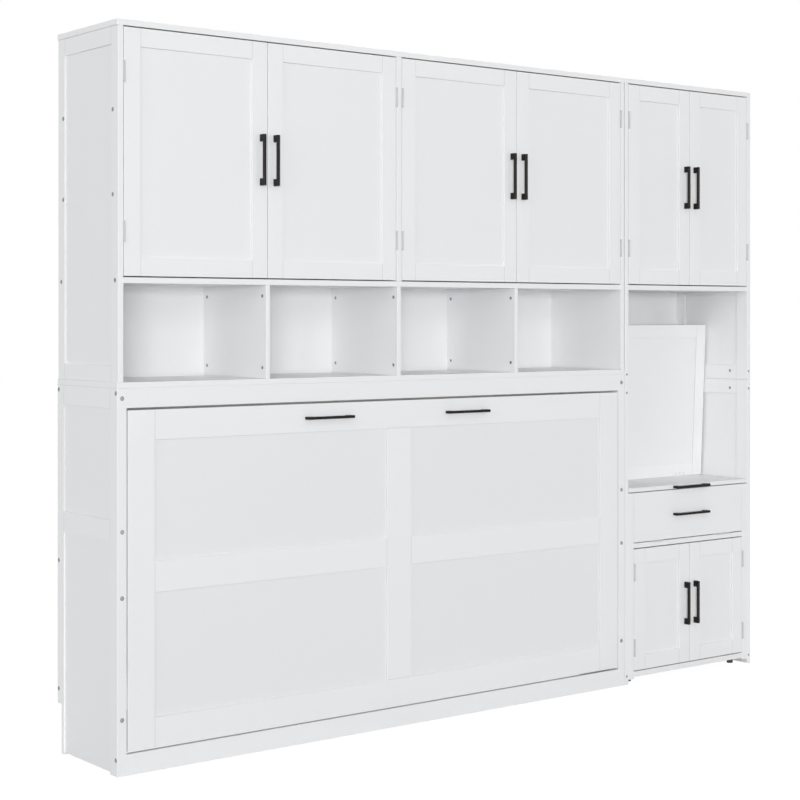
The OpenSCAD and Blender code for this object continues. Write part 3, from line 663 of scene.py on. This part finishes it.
def finishNode(node, materials, width, shortest):
    # stands for a CAD node: the same solids with rounded edges
    shape = merged(node)
    layer = shape.faces.layers.float.new("edge")
    frames = []
    for faces in islands(shape):
        low, high = boxOf(faces)
        size = high - low
        small = max(size) < easing["smallPiece"] and len(materials) > 1
        for face in faces:
            face.material_index = joinery["paints"]["hinge"] if small else 0
        if len(materials) > 2 and not small:
            frames += [((low, high), *found) for found in recessedFields(faces)]
            if node in loosePanels:
                frames.append(((low, high), *panelOpenings(node, (low, high))))
        limit = easing["smallWidth"] if small else width
        easeEdges(shape, faces, min(limit, easing["thinShare"] * min(size)), shortest, layer)
    for box, *found in frames:
        shadeSteps(shape, *found)
        cutSeams(shape, box, *found)
    bmesh.ops.dissolve_degenerate(shape, dist=cleaning["sliver"], edges=shape.edges)
    return addPiece(node + "_finish", shape, materials, bodyOf[node], slotOf[node], node)


def addPiece(name, shape, materials, body, slot, *nodes):
    mesh = bpy.data.meshes.new(name)
    shape.to_mesh(mesh)
    shape.free()
    for material in materials:
        mesh.materials.append(material)
    mesh.shade_smooth()
    mesh.set_sharp_from_angle(angle=math.radians(cleaning["smooth"]))
    piece = bpy.data.objects.new(name, mesh)
    bpy.context.scene.collection.objects.link(piece)
    shade = piece.modifiers.new("shade", "WEIGHTED_NORMAL")
    shade.keep_sharp = True
    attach(piece, body)
    if nodes:
        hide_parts(*nodes)
    return piece


paintUp = whitePaint("whitePaintUpright", 2)
paintAcross = whitePaint("whitePaintLevel", 0)
paintField = whitePaint("whitePaintField", 2, paint["field"])
paintBedPanel = whitePaint("whitePaintBedPanel", 2, paint["bedPanel"])
# painted shade for the steps round the fields
paintStepShade = whitePaint("whitePaintStepShade", 2, paint["step"])
seam = seamShade("frameSeamShade")
hingePaint = powderCoat("hingePaint")
bronzeUp = bronze("bronzeUpright", 2)
bronzeAcross = bronze("bronzeLevel", 0)
zincPlate = zinc("zincPlate", 2)
zincDrawn = zinc("zincDrawn", 1)
boltHeads = boltSteel("boltHeads")
strutPaint = blackPaint("strutPaint")
strutChrome = chrome("strutChrome")
glideBlack = mouldedBlack("glideBlack")

slatBoxes = solidBoxes("bed_slats")
slatPitch = slatBoxes[1][0].x - slatBoxes[0][0].x
birch = birchWood("birch", slatPitch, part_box("bed_slats")[0].x - slatWood["lead"])

levelBoards = [
    "bed_top_rail", "bed_plinth", "wall_rails", "hutch_floor_board", "hutch_middle_board", "hutch_top_board",
    "hutch_shelves", "desk_top_board", "desk_middle_board", "desk_shelves", "desk_compartment_board",
    "desk_base_board", "desktop", "bed_rails",
]
levelPulls = ["bed_pulls", "desktop_pull", "desk_flap_pull"]
for node in frame["nodes"]:
    slot = slotOf[node]
    if node == "bed_front_panels":
        look, edge = [paintBedPanel], "panel"
    elif node == "bed_side_panels":
        look, edge = [paintField], "panel"
    elif slot == "painted_board":
        # in the order of joinery's paints
        board, crossBoard = (paintAcross, paintUp) if node in levelBoards else (paintUp, paintAcross)
        hinge = paintUp if node == "desk_leaf" else hingePaint
        look, edge = [board, hinge, paintField, seam, crossBoard, paintStepShade], "board"
    elif slot == "pull_metal":
        look, edge = [bronzeAcross if node in levelPulls else bronzeUp], "pull"
    elif slot == "painted_steel":
        look, edge = [paintUp if node == "leaf_hinges" else hingePaint], "hinge"
    elif slot == "birch":
        look, edge = [birch], "slat"
    elif slot == "glide":
        look, edge = [glideBlack], "glide"
    elif slot == "black_steel":
        look, edge = [strutPaint], "strut"
    elif node == "gas_strut_rods":
        look, edge = [strutChrome], "rod"
    elif node.startswith("desk_runners"):
        look, edge = [zincDrawn], "runner"
    elif node == "frame_bolts":
        look, edge = [boltHeads], "bolt"
    else:
        look, edge = [zincPlate], "bracket"
    finishNode(node, look, *easing[edge])
print("nodes finished")


screws = {
    "flatHead": (0.0026, 0.00012),   # radius and height
    "panHead": (0.0040, 0.0022),
    "plateHead": (0.0042, 0.0010),
    "sides": 16,
    "taper": 0.72,         # the top's radius against the foot's
    "rim": 0.3,            # round the driver's star, against the radius
    "star": (1.0, 0.5, 0.45, 0.5),   # a point of the star and the three corners up to the next
    "starWall": 0.00005,
    "starDepth": 0.5,      # against the head's height
    "hingeStep": 0.022,    # between the three screws of a hinge leaf
    "hingeBack": 0.0105,   # from the hinge's axis to its screws
    "plateFace": 0.00018,  # from the axis to the near face of each leaf
    "leafStored": -87.5,   # degrees from the leaf's level place to its stored one
    "footInset": 0.011,    # from a pull's end to its screw
    "slatInset": 0.011,
    "plateInset": 0.009,
    "leastPlate": 0.04,    # height of the lowest bracket plate
    "tallPlate": (0.08, 0.004, 0.003),   # plates over this height, their thickness, that of the others
}


def screwShape(radius, height):
    # a screw head on z = 0 with a star-shaped driver recess
    shape = bmesh.new()
    bmesh.ops.create_cone(
        shape, cap_ends=True, segments=screws["sides"], radius1=radius,
        radius2=radius * screws["taper"], depth=height,
    )
    bmesh.ops.translate(shape, vec=(0, 0, height / 2), verts=shape.verts)
    top = max(shape.faces, key=lambda face: face.calc_center_median().z)
    bmesh.ops.inset_individual(shape, faces=[top], thickness=radius * screws["rim"], depth=0)
    for number, vert in enumerate(top.verts):
        if number % 4:
            centre = Vector((0, 0, vert.co.z))
            vert.co = centre + (vert.co - centre) * screws["star"][number % 4]
    bmesh.ops.inset_individual(
        shape, faces=[top], thickness=screws["starWall"], depth=-height * screws["starDepth"]
    )
    mesh = bpy.data.meshes.new("screwShape")
    shape.to_mesh(mesh)
    shape.free()
    return mesh


flatHead = screwShape(*screws["flatHead"])
panHead = screwShape(*screws["panHead"])
plateHead = screwShape(*screws["plateHead"])


def addScrews(name, head, places, body):
    # places are (point, direction that the head faces)
    shape = bmesh.new()
    for point, facing in places:
        start = len(shape.verts)
        shape.from_mesh(head)
        shape.verts.ensure_lookup_table()
        turn = Vector((0, 0, 1)).rotation_difference(Vector(facing)).to_matrix().to_4x4()
        matrix = Matrix.Translation(point) @ turn
        bmesh.ops.transform(shape, matrix=matrix, verts=shape.verts[start:])
    return addPiece(name, shape, [zincPlate], body, "bright_steel")


def hingeScrews(joint, node, along, back, across, fixedBody, restTurn=0.0):
    # the screws of both leaves of each hinge; across points from the fixed leaf to the moving one
    pivot = Vector(joint["pos_m"])
    along, back, across = Vector(along), Vector(back), Vector(across)
    turn = Matrix.Rotation(math.radians(restTurn), 3, along)
    leaves = [box for box in solidBoxes(node) if max(box[1] - box[0]) < easing["smallPiece"]]
    fixed, moving = [], []
    for low, high in leaves:
        middle = pivot + along * ((low + high) / 2 - pivot).dot(along)
        for step in (-1, 0, 1):
            point = middle + along * step * screws["hingeStep"] + back * screws["hingeBack"]
            fixed.append((point - across * screws["plateFace"], across))
            moved = middle + turn @ (point + across * screws["plateFace"] - middle)
            moving.append((moved, turn @ -across))
    addScrews(node + "_screws", flatHead, moving, joint["child"])
    addScrews(node + "_fixed_screws", flatHead, fixed, fixedBody)


for joint in frame["joints"]:
    if "door" in joint["name"]:
        door = next(
            node for node in frame["nodes"]
            if bodyOf[node] == joint["child"] and not node.endswith("pull")
        )
        hand = -joint["axis"][2]
        hingeScrews(joint, door, (0, 0, 1), (0, 1, 0), (hand, 0, 0), "cabinet")
hingeScrews(joints["flap_drop"], "desk_flap", (1, 0, 0), (0, 1, 0), (0, 0, 1), "cabinet")
hingeScrews(
    joints["leaf_fold"], "desk_leaf", (1, 0, 0), (0, -1, 0), (0, 0, 1), "desk_slide", screws["leafStored"]
)

for node in frame["nodes"]:
    if node.endswith("_pull") and node != "desktop_pull":
        low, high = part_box(node)
        carrier = [
            box for box in solidBoxes(node[:-len("_pull")]) if box[1].z - box[0].z > easing["smallPiece"]
        ]
        backFace = max(box[1].y for box in carrier)
        middle = (low + high) / 2
        reach = screws["footInset"]
        ends = [(low.x + reach, middle.z), (high.x - reach, middle.z)]
        if high.z - low.z > high.x - low.x:
            ends = [(middle.x, low.z + reach), (middle.x, high.z - reach)]
        places = [(Vector((x, backFace, z)), (0, 1, 0)) for x, z in ends]
        addScrews(node + "_screws", panHead, places, bodyOf[node])

places = []
for low, high in slatBoxes:
    for z in (low.z + screws["slatInset"], high.z - screws["slatInset"]):
        places.append((Vector(((low.x + high.x) / 2, high.y, z)), (0, 1, 0)))
addScrews("slat_screws", panHead, places, "bed")


def plateScrews(node, outside):
    # at the corners of each upright plate; outside is true where it is screwed to the cabinet's side
    bedMiddle = sum(corner.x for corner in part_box("bed_front_frame")) / 2
    tall, thick, thin = screws["tallPlate"]
    inset = screws["plateInset"]
    places = []
    for low, high in solidBoxes(node):
        height = high.z - low.z
        if height < screws["leastPlate"]:
            continue
        inward = 1 if low.x < bedMiddle else -1
        outer, inner = (low.x, high.x) if inward > 0 else (high.x, low.x)
        plate = thick if height > tall else thin
        face = outer + inward * plate if outside else inner - inward * plate
        facing = (inward if outside else -inward, 0, 0)
        for y in (low.y + inset, high.y - inset):
            places += [(Vector((face, y, z)), facing) for z in (low.z + inset, high.z - inset)]
    addScrews(node + "_screws", plateHead, places, bodyOf[node])


plateScrews("bed_pivot_brackets", True)
plateScrews("bed_rail_fittings", False)
print("screws made")


studio = {
    "floorSize": 60.0,
    "floorPaint": 0.50,   # what the floor gives back to the object, and its shadow
    "floorRough": 0.9,
    "floorShine": 0.1,
    "floorWhite": 0.90,   # share of glowing white in the floor that the camera sees
    "floorGlow": 1.09,    # its strength, so that it and the paint's share together are white
    "worldColour": (0.97, 0.985, 1.0, 1.0),
    "worldLight": 0.35,
    # place, the point that the lamp faces, width and height, watts
    "lamps": {
        "cameraLight": ((-20.0, -29.0, 1.6), (0.2, 0.0, 1.2), (11.0, 5.0), 6700),
        "upperLight": ((-14.0, -22.0, 8.0), (0.4, 0.0, 1.4), (8.0, 4.0), 700),
        "highLight": ((-4.0, -16.0, 15.0), (0.2, 0.0, 1.1), (7.0, 6.0), 200),
        "leftLight": ((-16.0, -4.0, 4.0), (-1.0, 0.0, 1.1), (6.0, 4.0), 340),
        "rightLight": ((12.0, -26.0, 3.0), (0.4, 0.0, 1.2), (8.0, 4.0), 330),
        "backLight": ((10.0, 10.0, 12.0), (0.0, 0.0, 1.2), (8.0, 5.0), 1700),
    },
}


def seenDirectly(tree):
    # 1 for rays that show the background: from the camera, a reflection or through glass
    rays = tree.nodes.new("ShaderNodeLightPath")
    total = rays.outputs["Is Camera Ray"]
    for name in ("Is Glossy Ray", "Is Transmission Ray"):
        node = tree.nodes.new("ShaderNodeMath")
        node.operation = "MAXIMUM"
        tree.links.new(total, node.inputs[0])
        tree.links.new(rays.outputs[name], node.inputs[1])
        total = node.outputs[0]
    return total


def blendInto(tree, output, share, first, second):
    node = tree.nodes.new("ShaderNodeMixShader")
    for place, link in enumerate((share, first, second)):
        tree.links.new(link, node.inputs[place])
    tree.links.new(node.outputs[0], tree.nodes[output].inputs["Surface"])


floorShape = bmesh.new()
bmesh.ops.create_grid(floorShape, x_segments=1, y_segments=1, size=studio["floorSize"] / 2)
floorMesh = bpy.data.meshes.new("floor")
floorShape.to_mesh(floorMesh)
floorShape.free()
floor = bpy.data.objects.new("floor", floorMesh)
bpy.context.scene.collection.objects.link(floor)
floorPaint = bpy.data.materials.new("floorPaint")
floorPaint.use_nodes = True
floorTree = floorPaint.node_tree
floorShader = floorTree.nodes["Principled BSDF"]
floorShader.inputs["Base Color"].default_value = (*[studio["floorPaint"]] * 3, 1.0)
floorShader.inputs["Roughness"].default_value = studio["floorRough"]
floorShader.inputs["Specular IOR Level"].default_value = studio["floorShine"]
share = floorTree.nodes.new("ShaderNodeMath")
share.operation = "MULTIPLY"
share.inputs[1].default_value = studio["floorWhite"]
floorTree.links.new(seenDirectly(floorTree), share.inputs[0])
glow = floorTree.nodes.new("ShaderNodeEmission")
glow.inputs["Strength"].default_value = studio["floorGlow"]
blendInto(floorTree, "Material Output", share.outputs[0], floorShader.outputs[0], glow.outputs[0])
floorMesh.materials.append(floorPaint)

world = bpy.data.worlds.new("studio")
bpy.context.scene.world = world
world.use_nodes = True
worldTree = world.node_tree
soft = worldTree.nodes["Background"]
soft.inputs["Color"].default_value = studio["worldColour"]
soft.inputs["Strength"].default_value = studio["worldLight"]
plain = worldTree.nodes.new("ShaderNodeBackground")
plain.inputs["Color"].default_value = (1.0, 1.0, 1.0, 1.0)
plain.inputs["Strength"].default_value = 1.0
blendInto(worldTree, "World Output", seenDirectly(worldTree), soft.outputs[0], plain.outputs[0])


def aim(holder, place, heading):
    # puts a lamp or camera at a place, turned to look along heading
    holder.location = place
    holder.rotation_euler = Vector(heading).to_track_quat("-Z", "Y").to_euler()
    bpy.context.scene.collection.objects.link(holder)


for name, (place, target, size, power) in studio["lamps"].items():
    lamp = bpy.data.lights.new(name, "AREA")
    lamp.shape = "RECTANGLE"
    lamp.size, lamp.size_y = size
    lamp.energy = power
    aim(bpy.data.objects.new(name, lamp), place, Vector(target) - Vector(place))

view = {
    "eye": (-3.8855, -4.753, 1.359),
    "heading": (0.6124, 0.7906, 0.0),
    "lens": 78.4,      # millimetres, on a sensor this wide
    "sensor": 36.0,
    "rise": -0.104,    # level camera, shifted down so that uprights stay upright
    "reach": 200.0,
}

camera = bpy.data.cameras.new("camera")
camera.lens = view["lens"]
camera.sensor_width = view["sensor"]
camera.shift_y = view["rise"]
camera.clip_end = view["reach"]
cameraHolder = bpy.data.objects.new("camera", camera)
aim(cameraHolder, view["eye"], view["heading"])
bpy.context.scene.camera = cameraHolder
bpy.context.scene.view_settings.view_transform = "Standard"
print("floor, light and camera set")
